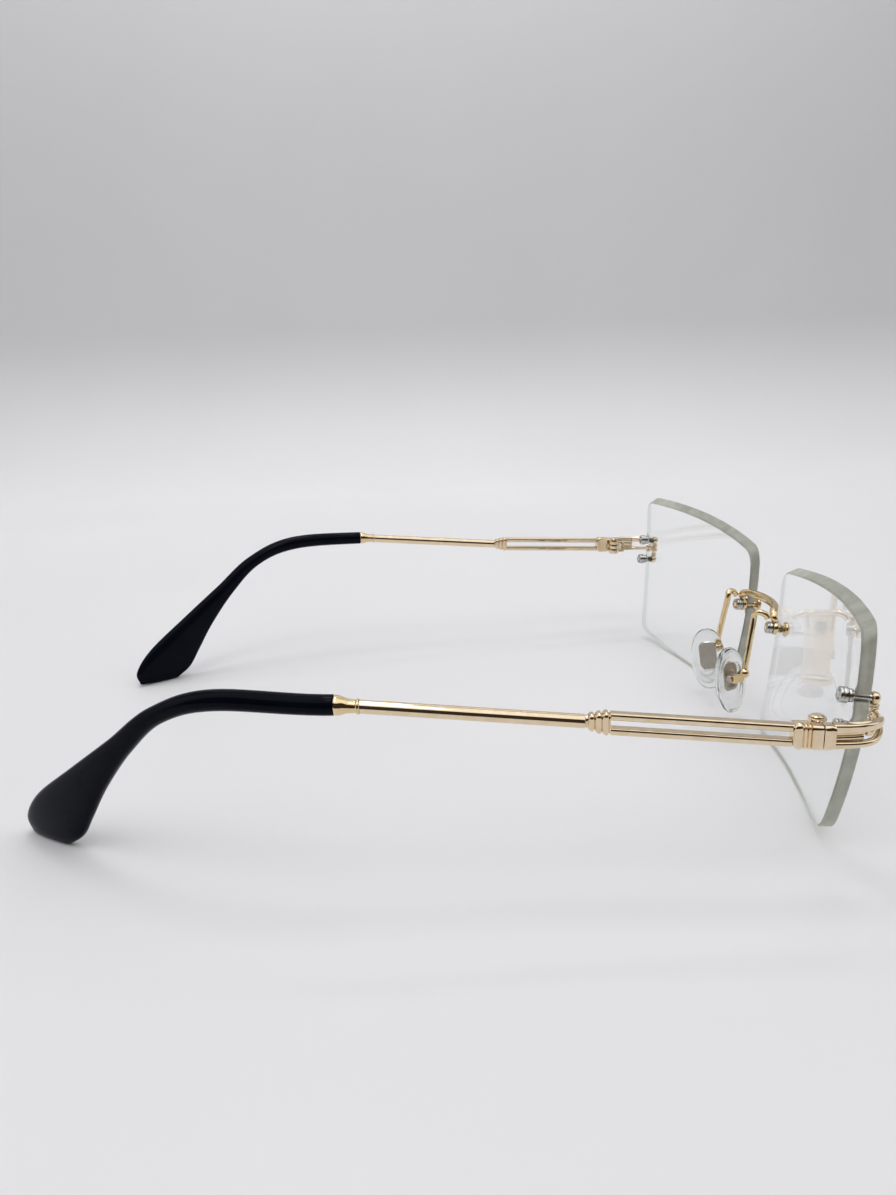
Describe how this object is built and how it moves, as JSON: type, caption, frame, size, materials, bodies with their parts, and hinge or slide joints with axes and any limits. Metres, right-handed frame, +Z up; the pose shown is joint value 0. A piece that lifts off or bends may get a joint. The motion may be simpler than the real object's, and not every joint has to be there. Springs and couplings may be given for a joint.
{
  "type": "rimless eyeglasses",
  "caption": "Rimless eyeglasses with clear lenses held by studs at their edges, a gold wire bridge, rocking nose pads, and folding temples with open bars and dark plastic ear tips.",
  "frame": {"origin": "middle of the footprint, on the surface that the lenses' lower edges and the ear tips rest on, with the temples open", "axes": "+Z up, the front of the glasses faces -Y, the temples run back along +Y, +X is the wearer's left"},
  "size_m": [0.1426, 0.1596, 0.0418],
  "materials": {
    "gold": "polished pale gold plating",
    "deep_gold": "polished yellow gold plating",
    "silver": "bright steel",
    "steel": "satin steel",
    "clear_lens": "clear, with a matt ground edge",
    "clear_silicone": "clear and soft",
    "dark_plastic": "glossy black"
  },
  "bodies": {
    "front": {"bridge": "deep_gold", "lens_right": "clear_lens", "lens_yoke_right": "gold", "upper_stud_right": "silver", "upper_sleeve_right": "silver", "upper_nut_right": "silver", "lower_stud_right": "silver", "lower_sleeve_right": "silver", "lower_nut_right": "silver", "bridge_screw_right": "deep_gold", "bridge_nut_right": "silver", "pad_arm_right": "deep_gold", "pad_mount_right": "deep_gold", "pad_screw_right": "steel", "endpiece_right": "gold", "hinge_front_leaf_right": "gold", "hinge_screw_right": "gold", "lens_left": "clear_lens", "lens_yoke_left": "gold", "upper_stud_left": "silver", "upper_sleeve_left": "silver", "upper_nut_left": "silver", "lower_stud_left": "silver", "lower_sleeve_left": "silver", "lower_nut_left": "silver", "bridge_screw_left": "deep_gold", "bridge_nut_left": "silver", "pad_arm_left": "deep_gold", "pad_mount_left": "deep_gold", "pad_screw_left": "steel", "endpiece_left": "gold", "hinge_front_leaf_left": "gold", "hinge_screw_left": "gold"},
    "temple_right": {"hinge_temple_leaf_right": "gold", "front_collar_right": "gold", "upper_bar_right": "gold", "lower_bar_right": "gold", "rear_collar_right": "gold", "temple_rod_right": "gold", "ferrule_right": "deep_gold", "core_wire_right": "steel", "temple_tip_right": "dark_plastic"},
    "temple_left": {"hinge_temple_leaf_left": "gold", "front_collar_left": "gold", "upper_bar_left": "gold", "lower_bar_left": "gold", "rear_collar_left": "gold", "temple_rod_left": "gold", "ferrule_left": "deep_gold", "core_wire_left": "steel", "temple_tip_left": "dark_plastic"},
    "nose_pad_right": {"pad_insert_right": "steel", "nose_pad_right": "clear_silicone"},
    "nose_pad_left": {"pad_insert_left": "steel", "nose_pad_left": "clear_silicone"}
  },
  "joints": [
    {"name": "temple_fold_right", "type": "hinge", "parent": "front", "child": "temple_right", "pos_m": [-0.0673, -0.05739, 0.0263], "axis": [0, 0, -1], "range_deg": [0, 80]},
    {"name": "temple_fold_left", "type": "hinge", "parent": "front", "child": "temple_left", "pos_m": [0.0673, -0.05739, 0.0263], "axis": [0, 0, 1], "range_deg": [0, 68]},
    {"name": "nose_pad_rock_right", "type": "hinge", "parent": "front", "child": "nose_pad_right", "pos_m": [-0.00913, -0.06693, 0.01251], "axis": [-0.3029, 0.9455, -0.1197], "range_deg": [-12, 12]},
    {"name": "nose_pad_rock_left", "type": "hinge", "parent": "front", "child": "nose_pad_left", "pos_m": [0.00913, -0.06693, 0.01251], "axis": [0.3029, 0.9455, -0.1197], "range_deg": [-12, 12]}
  ]
}
